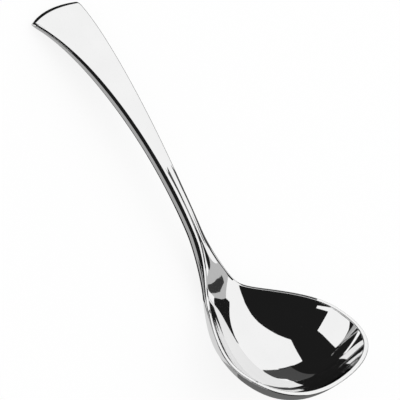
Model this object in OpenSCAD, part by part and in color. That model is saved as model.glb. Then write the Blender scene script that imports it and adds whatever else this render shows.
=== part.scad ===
// Soup ladle: a deep oval bowl, an arched flat handle with a fishtail end, and the weld that joins them.
// The shape is drawn with the rim of the bowl level and x running from the end of the handle to the tip
// of the bowl. It is then tipped back until the bowl and both corners of the handle's end touch the table.

/* [Bowl] */
// Width across the rim, outside
bowl_w = 90; // [76:1:110]
// Length from the root of the bowl, where its shoulders start, to the tip
bowl_l = 94; // [84:1:112]
// Distance from the root to the widest place
wide_x = 54.5; // [46:0.5:62]
// Depth of the hollow below the rim
bowl_depth = 26; // [20:0.5:36]
// Thickness of the bowl's wall
wall = 2; // [1.4:0.1:3]
// Width of the rim's top
rim_w = 2.4; // [1.6:0.1:3.4]
// How full the sides are, from a gentle dish to steep walls
fullness = 0.865; // [0.6:0.005:0.94]
// Slope of the front wall at the tip, in degrees
tip_angle = 60; // [45:1:70]

/* [Handle] */
// Reach, measured level from the root of the bowl to the corners of the end
handle_reach = 141; // [120:1:190]
// Rise of the end above the root of the bowl
handle_rise = 111; // [85:1:130]
// Slope of the face at the end, in degrees
end_angle = 5; // [0:1:20]
// Slope of the face where it enters the bowl, in degrees
neck_angle = 58; // [50:0.5:64]
// Width of the fishtail end
end_w = 40; // [28:0.5:46]
// Width at the waist, the narrowest place
waist_w = 9.5; // [7:0.1:13]
// Distance of the waist from the root of the bowl
waist_x = 21; // [14:1:34]
// Thickness at the end
end_t = 3; // [2.2:0.1:5]
// Thickness half way along
middle_t = 6; // [4.5:0.1:8]
// Thickness at the waist
waist_t = 6.5; // [5:0.1:8]
// How far the end bows out between its corners
end_bow = 4.2; // [0:0.1:6]
// Length over which the end rounds off
end_round_l = 4.5; // [1.5:0.1:6]
// Rounding of the long edges, as a share of the thickness
edge_round = 0.5; // [0.2:0.02:0.5]

/* [Neck] */
// Height of the root above the level of the rim
root_h = 6.3; // [4:0.1:10]
// Softness of the bend from the handle's edges to the rim
rim_bend = 8; // [4:0.1:10]
// Length of the stub that the bowl carries, from its root to the weld
stub_l = 20; // [14:1:25]
// Width of the weld
weld_w = 1.2; // [0.6:0.1:2]

/* [Rim] */
// Radius of the rim's outer edge
rim_round = 0.6; // [0.3:0.1:1]

/* [Hidden] */

steel = [0.78, 0.79, 0.80];
weld_steel = [0.70, 0.71, 0.72];

// Sections round the end, along the handle, from the stub to the widest place, and on to the tip
end_steps = 4;
handle_steps = 32;
back_steps = 30;
front_steps = 16;
// Points across the face and round each edge
across = 24;
edge_steps = 4;

// Shares of a length that set how far each curve follows the direction of its ends
end_share = 0.31;
neck_share = 0.37;
dive_share = 0.56;
floor_share = 0.5;
floor_round = 0.56;
flare_share = 0.26;
waist_share = 0.28;
shoulder_share = 0.345;
cheek_share = 0.37;
side_round = 0.73;
tip_round = 0.62;
// Slope of the outline at the end's corners
flare_angle = 13.7;
// Crown of the handle's underside, as a share of its depth, and how fast the neck flattens as it narrows
crown = 0.2;
flattening = 0.43;
// Place where the underside starts to turn into the bowl's round back
round_start = -1.25 * waist_x;
// Share of the neck's length over which its sections stand up, and of the reach that the end's bow fades over
upright_share = 0.9;
bow_share = 0.6;
// Places where the handle's round edges start to turn into the rim and where the rim is full
rim_start = -0.3 * waist_x;
rim_full = 1.2 * waist_x;
// Largest share of a half width that an edge's rounding takes, and the width of the flat strip beside it
edge_limit = 0.62;
strip_w = 0.5;
// Share of the end's thickness that its rounding takes off, and how closely the underside's points crowd
// towards its sides, where it is round
nose_share = 0.85;
crowding = 0.35;

half_w = bowl_w / 2;
front_l = bowl_l - wide_x;

// Point at t on a cubic curve, its direction there, and the t at which it passes x
function curve(p, t) =
    let (s = 1 - t) s * s * s * p[0] + 3 * s * s * t * p[1] + 3 * s * t * t * p[2] + t * t * t * p[3];
function heading(p, t) =
    let (s = 1 - t) s * s * (p[1] - p[0]) + 2 * s * t * (p[2] - p[1]) + t * t * (p[3] - p[2]);
function find(p, x, low = 0, high = 1, steps = 26) =
    let (mid = (low + high) / 2)
    steps == 0 ? mid
    : curve(p, mid)[0] < x ? find(p, x, mid, high, steps - 1)
    : find(p, x, low, mid, steps - 1);
function height(p, x) = curve(p, find(p, x))[1];
function slope(p, x) = let (d = heading(p, find(p, x))) d[1] / d[0];
function ease(x, a, b) = let (s = max(0, min(1, (x - a) / (b - a)))) s * s * (3 - 2 * s);
function along(angle, pull) = pull * [cos(angle), sin(angle)];

// Middle line of the face, seen from the side: handle, back of the bowl, front of the bowl
end_point = [-handle_reach, root_h + handle_rise];
root_point = [0, root_h];
floor_point = [wide_x, -bowl_depth];
tip_point = [bowl_l - rim_w, 0];
front_depth = bowl_depth * dive_share;
handle_line = [
    end_point, end_point + along(-end_angle, end_share * handle_reach),
    root_point - along(-neck_angle, neck_share * handle_reach), root_point];
back_line = [
    root_point, root_point + along(-neck_angle, dive_share * (bowl_depth + root_h)),
    floor_point - [floor_share * wide_x, 0], floor_point];
front_line = [
    floor_point, floor_point + [floor_round * (front_l - rim_w), 0],
    tip_point - along(tip_angle, front_depth), tip_point];
// The same front, under the wall
under_point = floor_point - [0, wall];
outer_tip = [bowl_l, -rim_round];
under_line = [
    under_point, under_point + [floor_round * front_l, 0],
    outer_tip - along(tip_angle, front_depth), outer_tip];

// Outline seen from above, as half widths: handle, shoulders, front
corner_point = [-handle_reach, end_w / 2];
waist_point = [-waist_x, waist_w / 2];
cheek_point = [wide_x, half_w];
handle_edge = [
    corner_point, corner_point + along(-flare_angle, flare_share * handle_reach),
    waist_point - [waist_share * (handle_reach - waist_x), 0], waist_point];
shoulder_edge = [
    waist_point, waist_point + [shoulder_share * (waist_x + wide_x), 0],
    cheek_point - [cheek_share * (waist_x + wide_x), 0], cheek_point];
front_edge = [
    cheek_point, cheek_point + [side_round * front_l, 0],
    [bowl_l, tip_round * half_w], [bowl_l, 0]];

function half_width(x) = x < -waist_x ? height(handle_edge, x) : height(shoulder_edge, x);
function middle(x) = x < 0 ? height(handle_line, x) : height(back_line, x);
function pitch(x) = atan(x < 0 ? slope(handle_line, x) : slope(back_line, x));
// Height of the two edges: the handle's line, bent softly into the level of the rim
function edge_height(x) =
    let (line = x < 0 ? height(handle_line, x) : root_h - tan(neck_angle) * x)
    (line + sqrt(line * line + rim_bend * rim_bend)) / 2;
function thickness(x) =
    x < -handle_reach / 2 ? middle_t - (middle_t - end_t) * pow(1 + 2 * x / handle_reach, 2)
    : x < -waist_x ? middle_t + (waist_t - middle_t) * ease(x, -handle_reach / 2, -waist_x)
    : waist_t + (wall - waist_t) * ease(x, -waist_x, wide_x);
// Hollow across the width: 1 in the middle, 0 at the edges, an arc that is as full as k says, and how full
// the arcs are behind the widest place and in front of it, where the outline's half width is w
function dip(y, w, k) = let (b = sqrt(1 - k * k)) (sqrt(1 - pow(k * y / w, 2)) - b) / (1 - b);
function back_full(w) = fullness * pow(w / half_w, flattening);
function front_full(w) = fullness * max(w / half_w, 0.01);

// One section: the face from side to side, an edge, the underside back again, and the other edge. Each edge
// is a flat strip, then an arc that starts level at a point of starts and ends at the underside, drop lower
function join_section(face, under, starts, drop) =
    let (n = across)
    concat(
        face,
        [for (k = [0 : edge_steps - 1]) corner(starts[1], under[n], drop, k / edge_steps * 90)],
        [for (j = [n : -1 : 0]) under[j]],
        [for (k = [edge_steps - 1 : -1 : 0]) corner(starts[0], under[0], drop, k / edge_steps * 90)]);
function corner(a, b, drop, turn) = a + (b - a - drop) * sin(turn) + drop * (1 - cos(turn));

function side_angle(j) = -90 + 180 * j / across;
function crowded(j, power) = let (s = sin(side_angle(j))) sign(s) * pow(abs(s), power);

// Section of the handle, the neck or the back of the bowl at x, drawn in by inset where the end rounds off
function back_section(x, inset = 0) =
    let (w = half_width(x), lean = pitch(x), line = middle(x), rise = edge_height(x) - line,
         turn = lean * (1 - ease(x, -upright_share * stub_l, 0)),
         deep = thickness(x) / cos(lean - turn),
         to_rim = ease(x, rim_start, rim_full),
         to_bowl = ease(x, round_start, wide_x),
         k = back_full(w), soft = min(edge_round * thickness(x), edge_limit * w),
         drop = soft + (rim_round - soft) * to_rim,
         strip = strip_w + (rim_w - rim_round - strip_w) * to_rim,
         start = w - min(drop, edge_limit * w), inner = start - min(strip, start / 2),
         bow = end_bow * pow(max(0, 1 - (x + handle_reach) / (bow_share * handle_reach)), 2),
         face = [for (j = [0 : across])
             let (y = crowded(j, 1) * inner) [y, rise * (1 - dip(y, inner, k))]],
         under = [for (j = [0 : across])
             let (y = crowded(j, crowding + (1 - crowding) * to_bowl) * w,
                  bend = max(0, (abs(y) - start) / (w - start)),
                  flat = sqrt(max(0, 1 - bend * bend)) * (1 - crown * y * y / (w * w)),
                  share = flat + (dip(y, w, k) - flat) * to_bowl)
             [y, rise - drop - (deep + rise - drop) * share]],
         place = function (p)
             let (y = p[0] * (1 - inset / w), up = (p[1] + deep / 2) * (1 - 2 * inset / deep) - deep / 2,
                  out = bow * (1 - y * y / (w * w)))
             [x - sin(turn) * up - out * cos(lean), y, line + cos(turn) * up - out * sin(lean)])
    join_section(
        [for (p = face) place(p)], [for (p = under) place(p)],
        [place([-start, rise]), place([start, rise])],
        place([start, rise - drop]) - place([start, rise]));

// Section of the front of the bowl, at t along the outline from the widest place to the tip
function front_section(t) =
    let (edge = curve(front_edge, t), out = edge[0] - wide_x, w = edge[1], k = front_full(w),
         x = wide_x + out * (front_l - rim_w) / front_l, inner = w * (half_w - rim_w) / half_w,
         floor_z = height(front_line, x), under_z = height(under_line, edge[0]),
         flat = 1 - rim_round / norm([edge[0] - x, w - inner]),
         start = [x + (edge[0] - x) * flat, inner + (w - inner) * flat],
         face = [for (j = [0 : across]) let (y = crowded(j, 1) * inner)
             [x, y, floor_z * dip(y, inner, k)]],
         under = [for (j = [0 : across]) let (y = crowded(j, 1) * w)
             [edge[0], y, (under_z + rim_round) * dip(y, w, k) - rim_round]])
    join_section(face, under, [[start[0], -start[1], 0], [start[0], start[1], 0]], [0, 0, -rim_round]);

weld_start = -stub_l - weld_w;
weld_end = -stub_l;
end_inset = nose_share * end_t / 2;
end_sections = [for (i = [0 : end_steps - 1]) let (a = 90 * (1 - i / end_steps))
    back_section(-handle_reach + end_round_l * (1 - sin(a)), end_inset * (1 - cos(a)))];
handle_start = -handle_reach + end_round_l;
handle_sections = concat(end_sections, [for (i = [0 : handle_steps])
    back_section(handle_start + (weld_start - handle_start) * i / handle_steps)]);
weld_sections = [back_section(weld_start), back_section(weld_end)];
back_sections = [for (i = [0 : back_steps])
    back_section(weld_end + (wide_x + stub_l) * sin(90 * i / back_steps))];
front_sections = [for (i = [1 : front_steps - 1]) front_section(i / front_steps)];
bowl_sections = concat(back_sections, front_sections);

// The ladle lies on its bowl and the corners of its handle's end
function tipped(p, a) = [p[0] * cos(a) - p[2] * sin(a), p[1], p[0] * sin(a) + p[2] * cos(a)];
function lowest(points, a) = min([for (p = points) p[0] * sin(a) + p[2] * cos(a)]);
function rest_angle(a, b, steps = 24) =
    let (mid = (a + b) / 2)
    steps == 0 ? mid
    : lowest(end_points, mid) > lowest(bowl_points, mid) ? rest_angle(mid, b, steps - 1)
    : rest_angle(a, mid, steps - 1);
end_points = [for (s = end_sections) each s];
bowl_points = [for (s = bowl_sections) each s];
tip_points = concat([[tip_point[0], 0, 0]], [for (k = [0 : edge_steps])
    corner([bowl_l - rim_round, 0, 0], [bowl_l, 0, -rim_round], [0, 0, -rim_round], k / edge_steps * 90)]);
rest_a = rest_angle(0, 80);
rest_z = lowest(bowl_points, rest_a);
rest_points = [for (p = concat(end_points, bowl_points, tip_points)) tipped(p, rest_a)[0]];
rest_x = (min(rest_points) + max(rest_points)) / 2;

module at_rest() {
    translate([-rest_x, 0, -rest_z]) rotate([0, -rest_a, 0]) children();
}

// Solid through a list of sections, closed flat at its start, and at its end either flat or at the tip
ring = 2 * (across + 1) + 2 * edge_steps;
function below(j) = 2 * across + edge_steps + 1 - j;
function skin(count) =
    [for (i = [0 : count - 2], j = [0 : ring - 1])
        let (a = i * ring + j, b = i * ring + (j + 1) % ring, c = a + ring, d = b + ring)
        each [[a, b, c], [b, d, c]]];
function edge_index(side, k) = side > 0 ? across + k : (ring - k) % ring;
// Faces of a flat end: the strip between face and underside, and the two edges
function flat_end(base, flip) =
    let (strip = [for (j = [0 : across - 1])
             each [[j, j + 1, below(j)], [j + 1, below(j + 1), below(j)]]],
         sides = [for (side = [-1, 1], k = [0 : edge_steps - 1])
             side > 0 ? [below(across), edge_index(1, k), edge_index(1, k + 1)]
             : [below(0), edge_index(-1, k + 1), edge_index(-1, k)]])
    [for (f = concat(strip, sides)) flip ? [base + f[0], base + f[1], base + f[2]]
        : [base + f[2], base + f[1], base + f[0]]];
// Faces that run together at the tip, where both edges become one
function tip_index(j) =
    j <= across ? 0
    : j <= across + edge_steps ? j - across
    : j <= below(0) ? edge_steps + 1
    : ring - j;
function tip_end(base) =
    [for (j = [0 : ring - 1])
        let (k = (j + 1) % ring, c = base + ring + tip_index(j), d = base + ring + tip_index(k))
        each concat([[base + j, base + k, c]], c == d ? [] : [[base + k, d, c]])];

module loft(sections) {
    polyhedron(
        points = [for (s = sections) each s],
        faces = concat(flat_end(0, false), skin(len(sections)),
            flat_end((len(sections) - 1) * ring, true)),
        convexity = 6);
}

module loft_to_tip(sections) {
    polyhedron(
        points = concat([for (s = sections) each s], tip_points),
        faces = concat(flat_end(0, false), skin(len(sections)), tip_end((len(sections) - 1) * ring)),
        convexity = 6);
}

// Drawn bowl with its flat rim, its shoulders and the stub that takes the handle
module bowl() {
    color(steel) at_rest() loft_to_tip(bowl_sections);
}

// Weld between the stub and the handle, ground flush with both
module neck_weld() {
    color(weld_steel) at_rest() loft(weld_sections);
}

// Forged handle: flat face, fully round long edges, drawn in at the waist and flared at the end
module handle() {
    color(steel) at_rest() loft(handle_sections);
}

bowl();
neck_weld();
handle();
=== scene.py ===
from math import cos, pi, radians, sin

import bpy
import numpy as np
from mathutils import Matrix, Vector


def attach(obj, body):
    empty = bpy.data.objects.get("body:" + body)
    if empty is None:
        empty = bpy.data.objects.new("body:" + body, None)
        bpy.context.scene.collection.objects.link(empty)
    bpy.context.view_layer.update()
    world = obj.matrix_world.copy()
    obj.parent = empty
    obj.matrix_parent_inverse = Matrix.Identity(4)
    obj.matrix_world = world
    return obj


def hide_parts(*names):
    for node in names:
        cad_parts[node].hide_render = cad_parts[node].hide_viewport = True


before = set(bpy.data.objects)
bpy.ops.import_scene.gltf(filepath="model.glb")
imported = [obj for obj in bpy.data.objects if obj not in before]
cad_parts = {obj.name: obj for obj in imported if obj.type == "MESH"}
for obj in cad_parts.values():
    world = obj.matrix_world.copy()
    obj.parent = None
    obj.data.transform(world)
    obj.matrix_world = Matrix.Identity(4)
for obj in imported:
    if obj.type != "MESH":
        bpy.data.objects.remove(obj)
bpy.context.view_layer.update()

# Sizes in millimetres and angles in degrees, with the rim level and x = 0 at the root of the bowl.
# The fullness and edge_round are shares.
bowl_w, bowl_l, wide_x, bowl_depth = 90, 94, 54.5, 26
wall, rim_w, fullness, tip_angle = 2, 2.4, 0.865, 60
handle_reach, handle_rise, end_angle, neck_angle = 141, 111, 5, 58
end_w, waist_w, waist_x = 40, 9.5, 21
end_t, middle_t, waist_t = 3, 6, 6.5
end_bow, end_round_l, edge_round, rim_round = 4.2, 4.5, 0.5, 0.6
root_h, rim_bend, stub_l, weld_w = 6.3, 8, 20, 1.2

# Shares that set how far each curve follows the direction of its ends, and how the sections change
end_share, neck_share, dive_share, floor_share, floor_round = 0.31, 0.37, 0.56, 0.5, 0.56
flare_share, waist_share, shoulder_share, cheek_share = 0.26, 0.28, 0.345, 0.37
side_round, tip_round, flare_angle = 0.73, 0.62, 13.7
crown, flattening, upright_share, bow_share = 0.2, 0.43, 0.9, 0.6
round_start, rim_start, rim_full = -1.25 * waist_x, -0.3 * waist_x, 1.2 * waist_x
edge_limit, strip_w, nose_share, crowding = 0.62, 0.5, 0.85, 0.35

# What only the finished metal has: a round inner edge of the rim, and sharper corners of the handle's end
inner_round = 0.2
flat_start = 0.35
end_narrowing = 0.35

# How finely the surfaces are divided
half_across = 48
corner_steps = 5
arc_steps = 18
end_steps = 14
handle_steps = 260
weld_steps = 2
back_steps = 190
front_rays = 90
ray_spread = 1.25

# How often the searches along the curves and for the tilt halve their range
curve_halvings, tilt_halvings = 34, 50

half_w = bowl_w / 2
front_l = bowl_l - wide_x


def curve(p, t):
    """Point on a cubic curve."""
    p, t = np.asarray(p, float), np.asarray(t, float)[..., None]
    s = 1 - t
    return s**3 * p[0] + 3 * s * s * t * p[1] + 3 * s * t * t * p[2] + t**3 * p[3]


def heading(p, t):
    """Direction of a cubic curve."""
    p, t = np.asarray(p, float), np.asarray(t, float)[..., None]
    s = 1 - t
    return s * s * (p[1] - p[0]) + 2 * s * t * (p[2] - p[1]) + t * t * (p[3] - p[2])


def find(p, x):
    """Where on the curve its first coordinate is x."""
    x = np.asarray(x, float)
    low, high = np.zeros_like(x), np.ones_like(x)
    for _ in range(curve_halvings):
        mid = (low + high) / 2
        short = curve(p, mid)[..., 0] < x
        low, high = np.where(short, mid, low), np.where(short, high, mid)
    return (low + high) / 2


def height(p, x):
    """Second coordinate of the curve where its first is x."""
    return curve(p, find(p, x))[..., 1]


def slope(p, x):
    """Slope of the curve where its first coordinate is x."""
    d = heading(p, find(p, x))
    return d[..., 1] / d[..., 0]


def ease(x, a, b):
    """0 before a, 1 after b and smooth between them."""
    s = np.clip((x - a) / (b - a), 0, 1)
    return s * s * (3 - 2 * s)


def along(angle, pull):
    """A pull of the given length in the direction of an angle."""
    return pull * np.array([cos(radians(angle)), sin(radians(angle))])


# The face seen from the side, and the outline seen from above
end_point = np.array([-handle_reach, root_h + handle_rise])
root_point = np.array([0, root_h])
floor_point = np.array([wide_x, -bowl_depth])
tip_point = np.array([bowl_l - rim_w, 0])
under_point = floor_point - [0, wall]
outer_tip = np.array([bowl_l, -rim_round])
front_pull = along(tip_angle, bowl_depth * dive_share)
handle_line = [
    end_point, end_point + along(-end_angle, end_share * handle_reach),
    root_point - along(-neck_angle, neck_share * handle_reach), root_point]
back_line = [
    root_point, root_point + along(-neck_angle, dive_share * (bowl_depth + root_h)),
    floor_point - [floor_share * wide_x, 0], floor_point]
front_line = [
    floor_point, floor_point + [floor_round * (front_l - rim_w), 0], tip_point - front_pull, tip_point]
under_line = [
    under_point, under_point + [floor_round * front_l, 0], outer_tip - front_pull, outer_tip]
corner_point = np.array([-handle_reach, end_w / 2])
waist_point = np.array([-waist_x, waist_w / 2])
cheek_point = np.array([wide_x, half_w])
shoulder_l = waist_x + wide_x
handle_edge = [
    corner_point, corner_point + along(-flare_angle, flare_share * handle_reach),
    waist_point - [waist_share * (handle_reach - waist_x), 0], waist_point]
shoulder_edge = [
    waist_point, waist_point + [shoulder_share * shoulder_l, 0],
    cheek_point - [cheek_share * shoulder_l, 0], cheek_point]
front_edge = [
    cheek_point, cheek_point + [side_round * front_l, 0],
    np.array([bowl_l, tip_round * half_w]), np.array([bowl_l, 0])]


def half_width(x):
    """Half the width of the handle, the neck or the back of the bowl."""
    return np.where(x < -waist_x, height(handle_edge, x), height(shoulder_edge, x))


def middle(x):
    """Height of the face's middle line."""
    return np.where(x < 0, height(handle_line, x), height(back_line, x))


def pitch(x):
    """Slope angle of the face's middle line."""
    return np.arctan(np.where(x < 0, slope(handle_line, x), slope(back_line, x)))


def soft_rise(line):
    """The line where it is well above 0, bent softly into 0 where it is below."""
    return (line + np.sqrt(line**2 + rim_bend**2)) / 2


def edge_height(x):
    """Height of the two edges: the handle's line, bent softly into the level of the rim."""
    dive = root_h - np.tan(radians(neck_angle)) * x
    line = np.where(x < 0, height(handle_line, np.minimum(x, 0)), dive)
    left_over = soft_rise(root_h - np.tan(radians(neck_angle)) * wide_x)
    return soft_rise(line) - left_over * ease(x, 0, wide_x)


def thickness(x):
    """Thickness of the metal, square to the middle line."""
    near_end = middle_t - (middle_t - end_t) * (1 + 2 * x / handle_reach)**2
    near_waist = middle_t + (waist_t - middle_t) * ease(x, -handle_reach / 2, -waist_x)
    in_bowl = waist_t + (wall - waist_t) * ease(x, -waist_x, wide_x)
    return np.where(x < -handle_reach / 2, near_end, np.where(x < -waist_x, near_waist, in_bowl))


def dip(y, w, k):
    """Hollow across the width: 1 in the middle, 0 at the edges, an arc that is as full as k says."""
    v = np.clip(np.abs(y) / np.maximum(w, 1e-6), 0, 1)
    b = np.sqrt(1 - k * k)
    return (np.sqrt(1 - (k * v)**2) - b) / (1 - b)


def back_full(w):
    """How full the hollow's arc is behind the widest place, by half the width."""
    return fullness * (w / half_w)**flattening


def front_full(w):
    """How full the hollow's arc is in front of the widest place."""
    return fullness * np.maximum(w / half_w, 0.01)


turns = np.radians(np.linspace(-90, 90, 2 * half_across + 1))
arc = np.radians(np.linspace(0, 90, arc_steps, endpoint=False))


def pair(a, b):
    """Rows of points, from the rows of their coordinates."""
    return np.stack(np.broadcast_arrays(a, b), -1)


def corner(a, b, c):
    """Points of a rounded corner from a to c that bends round b, without a."""
    t = (np.arange(1, corner_steps + 1) / corner_steps)[:, None]
    return (1 - t)**2 * a + 2 * t * (1 - t) * b + t * t * c


def crowded(power):
    """Shares of the half width from -1 to 1, closer together at the sides where the power is low."""
    return np.sign(turns) * np.abs(np.sin(turns))**power


def sections(x, inset=0.0):
    """Loops of points round the handle, the neck or the back of the bowl, drawn in by inset at the end."""
    x, inset = np.atleast_1d(x)[:, None], np.atleast_1d(inset)[:, None]
    w, lean, line = half_width(x), pitch(x), middle(x)
    rise = edge_height(x) - line
    turn = lean * (1 - ease(x, -upright_share * stub_l, 0))
    deep = thickness(x) / np.cos(lean - turn)
    to_rim, to_bowl, k = ease(x, rim_start, rim_full), ease(x, round_start, wide_x), back_full(w)
    soft = np.minimum(edge_round * thickness(x), edge_limit * w)
    drop = soft + (rim_round - soft) * to_rim
    strip = strip_w + (rim_w - rim_round - strip_w) * to_rim
    start = w - np.minimum(drop, edge_limit * w)
    inner = start - np.minimum(strip, start / 2)
    y = crowded(1) * (inner - inner_round)
    hollow = pair(y, rise * (1 - dip(y, inner, k)))
    side = crowded(crowding + (1 - crowding) * to_bowl)
    bend = np.maximum(0, (np.abs(side) * w - start) / (w - start))
    flat = np.sqrt(np.maximum(0, 1 - bend**2)) * (1 - crown * side**2)
    share = flat + (dip(side * w, w, k) - flat) * to_bowl
    under = pair(side * w, rise - drop - (deep + rise - drop) * share)
    inside = corner(hollow[:, -1:], pair(inner, rise), pair(inner + flat_start, rise))
    outside = pair(start + (w - start) * np.sin(arc), rise - drop * (1 - np.cos(arc)))
    right = np.concatenate([inside, outside], 1)
    loop = np.concatenate([hollow, right, under[:, ::-1], right[:, ::-1] * [-1, 1]], 1)
    y = loop[..., 0] * (1 - end_narrowing * inset / w)
    up = (loop[..., 1] + deep / 2) * (1 - 2 * inset / deep) - deep / 2
    bow = end_bow * np.maximum(0, 1 - (x + handle_reach) / (bow_share * handle_reach))**2
    out = bow * (1 - (y / w)**2)
    return np.stack([x - np.sin(turn) * up - out * np.cos(lean), y,
                     line + np.cos(turn) * up - out * np.sin(lean)], -1)


def rounded_end():
    """Loops that round the handle's end off, from its cap outwards."""
    a = np.linspace(pi / 2, 0, end_steps, endpoint=False)
    return sections(end_round_l * (1 - np.sin(a)) - handle_reach, nose_share * end_t / 2 * (1 - np.cos(a)))


def front_loops():
    """Rays from the middle of the widest place, over the rim and back underneath, from right to left."""
    t = np.linspace(0, 1, front_rays + 1)[1:]**ray_spread
    rays = front_rows(t)
    return np.concatenate([rays, rays[-2::-1] * [1, -1, 1]])


def front_rows(t):
    """Rays of the right half, by their shares of the rim's front curve."""
    edge = curve(front_edge, t)[:, None]
    shrink = np.array([(front_l - rim_w) / front_l, (half_w - rim_w) / half_w])
    start = np.array([wide_x, 0])
    brim = start + (edge - start) * shrink
    shares = np.sin(turns[half_across:])[None, :, None]
    reach = np.linalg.norm(brim - start, axis=2, keepdims=True)
    plan = start + shares * (1 - inner_round / reach) * (brim - start)
    w = height(front_edge, wide_x + (plan[..., 0] - wide_x) / shrink[0])
    floor = height(front_line, np.minimum(plan[..., 0], tip_point[0]))
    floor = floor * dip(plan[..., 1], w * shrink[1], front_full(w))
    hollow = np.concatenate([plan, floor[..., None]], 2)
    width = np.linalg.norm(edge - brim, axis=2, keepdims=True)
    outward = (edge - brim) / width
    step = np.concatenate([outward, 0 * width], 2)
    rim_in, rim_out = np.concatenate([brim, 0 * width], 2), np.concatenate([edge, 0 * width], 2)
    inside = corner(hollow[:, -1:], rim_in, rim_in + flat_start * step)
    over, down = np.sin(arc)[None, :, None], (1 - np.cos(arc))[None, :, None]
    outside = rim_out - rim_round * ((1 - over) * step + down * np.array([0, 0, 1]))
    plan = start + shares * (edge - start)
    w = height(front_edge, plan[..., 0])
    depth = (height(under_line, plan[..., 0]) + rim_round) * dip(plan[..., 1], w, front_full(w)) - rim_round
    under = np.concatenate([plan, depth[..., None]], 2)[:, ::-1]
    return np.concatenate([hollow, inside, outside, under], 1)


def rest_on_table(points, end, bowl):
    """Tips the ladle back until its bowl and the corners of its handle's end lie on the table."""

    def lowest(p, a):
        return (p[:, 0] * sin(a) + p[:, 2] * cos(a)).min()

    low, high = 0.0, radians(80)
    for _ in range(tilt_halvings):
        a = (low + high) / 2
        low, high = (a, high) if lowest(end, a) > lowest(bowl, a) else (low, a)
    turn = np.array([[cos(a), 0, -sin(a)], [0, 1, 0], [sin(a), 0, cos(a)]])
    solid = np.concatenate([end, bowl]) @ turn.T
    centre = (solid[:, 0].min() + solid[:, 0].max()) / 2
    return points @ turn.T - [centre, 0, solid[:, 2].min()]


def grid_faces(index):
    """Quads between neighbouring rows of a grid of point numbers, with triangles at its poles."""
    a, b, c, d = index[:-1, :-1], index[1:, :-1], index[1:, 1:], index[:-1, 1:]
    faces = []
    for face in zip(a.ravel(), b.ravel(), c.ravel(), d.ravel()):
        once = list(dict.fromkeys(int(i) for i in face))
        if len(once) > 2:
            faces.append(once)
    return faces


def loop_faces(first, last):
    """Skin through the loops from first to last."""
    index = np.arange(first, last + 1)[:, None] * loop_size + np.arange(loop_size + 1) % loop_size
    return grid_faces(index)


def cap_faces(loop, flip):
    """Faces across a loop: strips from the face to the underside, and the two edges."""
    last, edge = 2 * half_across, loop_size // 2 - 2 * half_across - 1
    below = loop_size - edge - 1
    faces = [[j, j + 1, below - j - 1, below - j] for j in range(last)]
    faces.append(list(range(last, last + edge + 2)))
    faces.append([0] + list(range(below, loop_size)))
    return [[loop * loop_size + i for i in (f[::-1] if flip else f)] for f in faces]


handle_x = np.linspace(-handle_reach + end_round_l, -stub_l - weld_w, handle_steps + 1)
weld_x = np.linspace(-stub_l - weld_w, -stub_l, weld_steps + 1)[1:]
bowl_x = np.linspace(-stub_l, wide_x, back_steps + 1)[1:]
end_loops = rounded_end()
loops = np.concatenate([end_loops, sections(np.concatenate([handle_x, weld_x, bowl_x]))])
handle_last = end_steps + handle_steps
weld_last = handle_last + weld_steps
loop_size = loops.shape[1]
wide_loop = len(loops) - 1
rays = front_loops()
ray_size = rays.shape[1]

# Point numbers of the front: its first and last ray and its two poles are points of the widest loop
widest = wide_loop * loop_size
first_ray = widest + half_across + np.arange(ray_size)
last_ray = widest + (half_across - np.arange(ray_size)) % loop_size
inner_rays = loops.size // 3 + np.arange(len(rays) * ray_size).reshape(-1, ray_size)
front_index = np.concatenate([[first_ray], inner_rays, [last_ray]])
front_index[:, 0], front_index[:, -1] = first_ray[0], first_ray[-1]

loops, rays = loops.reshape(-1, 3), rays.reshape(-1, 3)
points = rest_on_table(
    np.concatenate([loops, rays]), end_loops.reshape(-1, 3),
    np.concatenate([loops[weld_last * loop_size:], rays])) / 1000

shells = {
    "handle": loop_faces(0, handle_last) + cap_faces(0, False),
    "neck_weld": loop_faces(handle_last, weld_last),
    "bowl": loop_faces(weld_last, wide_loop) + grid_faces(front_index),
}
caps = {
    "handle": cap_faces(handle_last, True),
    "neck_weld": cap_faces(handle_last, False) + cap_faces(weld_last, True),
    "bowl": cap_faces(weld_last, False),
}


def point_normals(faces):
    """Smooth normals of the whole ladle, so that its pieces meet without a seam."""
    normals = np.zeros_like(points)
    for f in faces:
        normals[f] += np.cross(points[f[2]] - points[f[0]], points[f[-1]] - points[f[1]])
    return normals / np.maximum(np.linalg.norm(normals, axis=1), 1e-20)[:, None]


smooth = point_normals([f for faces in shells.values() for f in faces])


def make_piece(name, material):
    """A closed mesh that stands for the node of the same name."""
    faces = shells[name] + caps[name]
    used = sorted({i for f in faces for i in f})
    number = {old: new for new, old in enumerate(used)}
    mesh = bpy.data.meshes.new(name + "_metal")
    mesh.from_pydata(points[used].tolist(), [], [[number[i] for i in f] for f in faces])
    mesh.polygons.foreach_set("use_smooth", [True] * len(faces))
    mesh.update()
    normals = [tuple(smooth[i]) for f in shells[name] for i in f]
    for k in range(len(shells[name]), len(faces)):
        normals += [tuple(mesh.polygons[k].normal)] * len(faces[k])
    mesh.normals_split_custom_set(normals)
    mesh.materials.append(material)
    piece = bpy.data.objects.new(name + "_metal", mesh)
    bpy.context.scene.collection.objects.link(piece)
    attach(piece, "root")
    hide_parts(name)
    return piece


def add_node(tree, kind, **values):
    """A node with the given settings; names of inputs have their spaces written as underscores."""
    node = tree.nodes.new("ShaderNode" + kind)
    for key, value in values.items():
        if hasattr(node, key):
            setattr(node, key, value)
        else:
            node.inputs[key.replace("_", " ")].default_value = value
    return node


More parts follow.
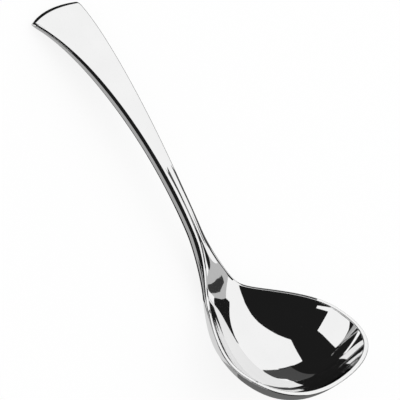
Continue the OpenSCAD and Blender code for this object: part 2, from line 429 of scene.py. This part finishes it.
def polished_metal(name, shade, line_scale, rough):
    """Mirror-polished metal: faint polish lines, cloudy roughness and a slow waviness of the surface."""
    metal = bpy.data.materials.new(name)
    metal.use_nodes = True
    tree = metal.node_tree
    link = tree.links.new
    shader = tree.nodes["Principled BSDF"]
    shader.inputs["Metallic"].default_value = 1
    place = add_node(tree, "TexCoord").outputs["Object"]

    stretch = add_node(tree, "Mapping")
    stretch.inputs["Scale"].default_value = line_scale
    link(place, stretch.inputs["Vector"])
    lines = add_node(tree, "TexNoise", Scale=1.0, Detail=3.0, Roughness=0.6)
    link(stretch.outputs["Vector"], lines.inputs["Vector"])
    clouds = add_node(tree, "TexNoise", Scale=38.0, Detail=4.0, Roughness=0.55)
    link(place, clouds.inputs["Vector"])

    both = add_node(tree, "Math", operation="MULTIPLY")
    link(lines.outputs["Fac"], both.inputs[0])
    link(clouds.outputs["Fac"], both.inputs[1])
    spread = add_node(tree, "MapRange")
    for key, value in (("From Min", 0.12), ("From Max", 0.4), ("To Min", rough[0]), ("To Max", rough[1])):
        spread.inputs[key].default_value = value
    link(both.outputs["Value"], spread.inputs["Value"])
    link(spread.outputs["Result"], shader.inputs["Roughness"])

    tint = add_node(tree, "ValToRGB")
    for stop, position, grey in zip(tint.color_ramp.elements, (0.3, 0.7), (shade - 0.015, shade + 0.015)):
        stop.position = position
        stop.color = (grey, grey, grey, 1)
    link(clouds.outputs["Fac"], tint.inputs["Fac"])
    link(tint.outputs["Color"], shader.inputs["Base Color"])

    waves = add_node(tree, "TexNoise", Scale=55.0, Detail=1.0, Roughness=0.4)
    link(place, waves.inputs["Vector"])
    wavy = add_node(tree, "Bump", Strength=0.35, Distance=0.000012)
    link(waves.outputs["Fac"], wavy.inputs["Height"])
    scored = add_node(tree, "Bump", Strength=0.3, Distance=0.00000015)
    link(lines.outputs["Fac"], scored.inputs["Height"])
    link(wavy.outputs["Normal"], scored.inputs["Normal"])
    link(scored.outputs["Normal"], shader.inputs["Normal"])
    return metal


# The polish lines run along the ladle, and across it where the weld was ground flush
steel = polished_metal("polished_steel", 0.88, (60, 2400, 2400), (0.012, 0.05))
weld = polished_metal("ground_weld", 0.86, (2400, 60, 60), (0.02, 0.06))
for name, metal, slot in (
        ("handle", steel, "polished_steel"),
        ("neck_weld", weld, "ground_weld"),
        ("bowl", steel, "polished_steel")):
    make_piece(name, metal)


def stage_sheet(name, corners, material):
    """One flat sheet of the studio, with its corners in millimetres."""
    mesh = bpy.data.meshes.new(name)
    mesh.from_pydata([tuple(c / 1000 for c in corner) for corner in corners], [], [list(range(len(corners)))])
    mesh.materials.append(material)
    sheet = bpy.data.objects.new(name, mesh)
    bpy.context.scene.collection.objects.link(sheet)
    return sheet


# Floor: white paper that glows where the camera sees it, with a faint shadow left. The terms for glossy
# and transmitted rays change nothing: reflections don't see this floor, and nothing here is transparent.
glow_share = 0.85
white = bpy.data.materials.new("white_floor")
white.use_nodes = True
tree = white.node_tree
link = tree.links.new
paper = tree.nodes["Principled BSDF"]
paper.inputs["Base Color"].default_value = (0.98, 0.98, 0.98, 1)
paper.inputs["Roughness"].default_value = 1
paper.inputs["Specular IOR Level"].default_value = 0
glow = add_node(tree, "Emission")
path = add_node(tree, "LightPath")
seen = path.outputs["Is Camera Ray"]
for kind in ("Is Glossy Ray", "Is Transmission Ray"):
    total = add_node(tree, "Math", operation="ADD")
    link(seen, total.inputs[0])
    link(path.outputs[kind], total.inputs[1])
    seen = total.outputs["Value"]
part = add_node(tree, "Math", operation="MULTIPLY")
part.inputs[1].default_value = glow_share
link(seen, part.inputs[0])
blend = add_node(tree, "MixShader")
link(part.outputs["Value"], blend.inputs["Fac"])
link(paper.outputs["BSDF"], blend.inputs[1])
link(glow.outputs["Emission"], blend.inputs[2])
link(blend.outputs["Shader"], tree.nodes["Material Output"].inputs["Surface"])
square = [(-1, -1), (1, -1), (1, 1), (-1, 1)]
floor = stage_sheet("floor", [(4000 * i, 4000 * j, 0) for i, j in square], white)
floor.visible_glossy = False

world = bpy.data.worlds.new("studio")
bpy.context.scene.world = world
world.use_nodes = True
world.node_tree.nodes["Background"].inputs["Color"].default_value = (1, 1, 1, 1)

# The studio that the mirror shows: a dark room, which hides the white world from reflections, with white
# panels and a few grey and black flags. Most outlines were traced back through the mirror from the
# edges of light and dark in the photograph.
papers = {}


def panel(name, level, corners):
    """A sheet of even brightness that only reflections show."""
    if level not in papers:
        sheet = bpy.data.materials.new("panel_%g" % level)
        sheet.use_nodes = True
        sheet.node_tree.nodes.clear()
        glow = add_node(sheet.node_tree, "Emission")
        glow.inputs["Color"].default_value = (level, level, level, 1)
        out = add_node(sheet.node_tree, "OutputMaterial")
        sheet.node_tree.links.new(glow.outputs["Emission"], out.inputs["Surface"])
        papers[level] = sheet
    made = stage_sheet(name, corners, papers[level])
    made.visible_camera = made.visible_diffuse = made.visible_shadow = False
    made.visible_transmission = made.visible_volume_scatter = False
    return made


def upright(foot, away, facing, outline):
    """Corners of an upright sheet that stands away from foot, from sideways distances and heights."""
    c, s = cos(radians(facing)), sin(radians(facing))
    return [(foot[0] + away * c - aside * s, foot[1] + away * s + aside * c, z) for aside, z in outline]


def toward(place, away, outline):
    """Corners that lie away from place, in the directions of the outline (degrees round and up)."""
    around, up = np.radians(outline).T
    directions = np.stack([np.cos(up) * np.cos(around), np.cos(up) * np.sin(around), np.sin(up)], 1)
    return (np.array(place) + away * directions).tolist()


room, dark, white_light = 9000, 0.012, 1.0
for name, u, v, w in (
        ("north", (1, 0, 0), (0, 0, 1), (0, 1, 0)), ("south", (1, 0, 0), (0, 0, 1), (0, -1, 0)),
        ("east", (0, 1, 0), (0, 0, 1), (1, 0, 0)), ("west", (0, 1, 0), (0, 0, 1), (-1, 0, 0)),
        ("above", (1, 0, 0), (0, 1, 0), (0, 0, 1)), ("below", (1, 0, 0), (0, 1, 0), (0, 0, -1))):
    u, v, w = np.array(u), np.array(v), np.array(w)
    panel("room_" + name, dark, [tuple(room * (w + i * u + j * v)) for i, j in square])
panel("ceiling", white_light, [
    (1700, -300, 2000), (700, -300, 2000), (570, -198, 2000), (296, -133, 2000), (36, -142, 2000),
    (-254, -209, 2000), (-684, -320, 2000), (-1276, -520, 2000), (-3960, 620, 2000), (-3254, 1651, 2000),
    (-3010, 2667, 2000), (-2792, 4058, 2000), (-2450, 5500, 2000), (1900, 5500, 2000)])
panel("back_wall", white_light, [(-4400, 3000, 0), (2500, 3000, 0), (2500, 3000, 2100), (-4400, 3000, 2100)])
panel("side_window", white_light, toward((106, 38, 38), 2800, [
    (-166, -6), (-161, -11), (-147, -14.5), (-135, -14), (-120, -3), (-112, 5), (-98, 24), (-101, 26),
    (-115, 10), (-125, 18), (-137, 25), (-144, 17), (-155, 6)]))
panel("side_strip", white_light, toward((118, 32, 47), 2500, [
    (175, -24.5), (175, -28), (-158, -31), (-158, -27)]))
panel("far_ground", 0.18, [(-1500, 4000, 0), (2200, 4000, 0), (2200, 4000, -8900), (-1500, 4000, -8900)])
panel("near_ground", 0.42, [
    (-800, -4000, 560), (1700, -4000, 560), (1700, -4000, -8900), (-800, -4000, -8900)])
# Grey sheets just below the floor, seen only in reflections: painted shadow of the ladle on the floor beside
# the handle and under the bowl, darkest by the tip
panel("painted_shadow_by_handle", 0.42, [(-160, -45, -1), (50, -45, -1), (50, -12, -1), (-160, -12, -1)])
panel("painted_shadow_by_neck", 0.7, [(55, -70, -1), (88, -70, -1), (88, 70, -1), (55, 70, -1)])
panel("painted_shadow_by_cheek", 0.35, [(88, -70, -1), (105, -70, -1), (105, 70, -1), (88, 70, -1)])
panel("painted_shadow_by_tip", 0.14, [(105, -70, -1), (170, -70, -1), (170, 70, -1), (105, 70, -1)])
panel("black_flag", dark, upright((65, 0), 400, 68, [
    (-5, 175), (-45, 330), (-84, 454), (-95, 600), (-60, 560), (29, 420), (93, 320), (150, 247),
    (190, 236), (160, 200), (100, 180), (40, 120)]))
panel("grey_wall", 0.52, upright((50, 0), 900, 50, [
    (250, 60), (250, 560), (100, 1000), (-430, 1150), (-430, 60)]))
panel("neck_flag", 0.04, upright((50, 0), 120, 55, [
    (20, 32), (16.5, 46), (8, 69), (-3, 95), (-16, 112), (-25, 123), (-27, 119), (-19, 103), (-11, 88),
    (-2, 68), (7, 46), (14, 32)]))
panel("low_flag", 0.07, [(x, 70, z) for x, z in (
    (65.5, 34), (65.5, 39), (58, 46), (47, 55), (33, 64), (18, 73), (2, 82), (-10, 88), (-10, 12), (44, 12),
    (47, 36))])

# Camera
camera_place = Vector((-55.738, -816.597, 878.604)) / 1000
camera_aim = Vector((5.729, 14.826, 15.494)) / 1000
camera_roll = radians(-63.509)
camera_focal = 2110.8
camera = bpy.data.cameras.new("camera")
camera.sensor_width = 36
camera.lens = camera_focal / 400 * 36
camera.clip_start = 0.05
camera.clip_end = 50
eye = bpy.data.objects.new("camera", camera)
bpy.context.scene.collection.objects.link(eye)
look = (camera_aim - camera_place).normalized()
level = look.to_track_quat("-Z", "Y").to_matrix().to_4x4()
eye.matrix_world = Matrix.Translation(camera_place) @ Matrix.Rotation(camera_roll, 4, look) @ level
bpy.context.scene.camera = eye

bpy.context.scene.view_settings.view_transform = "Standard"
bpy.context.view_layer.update()
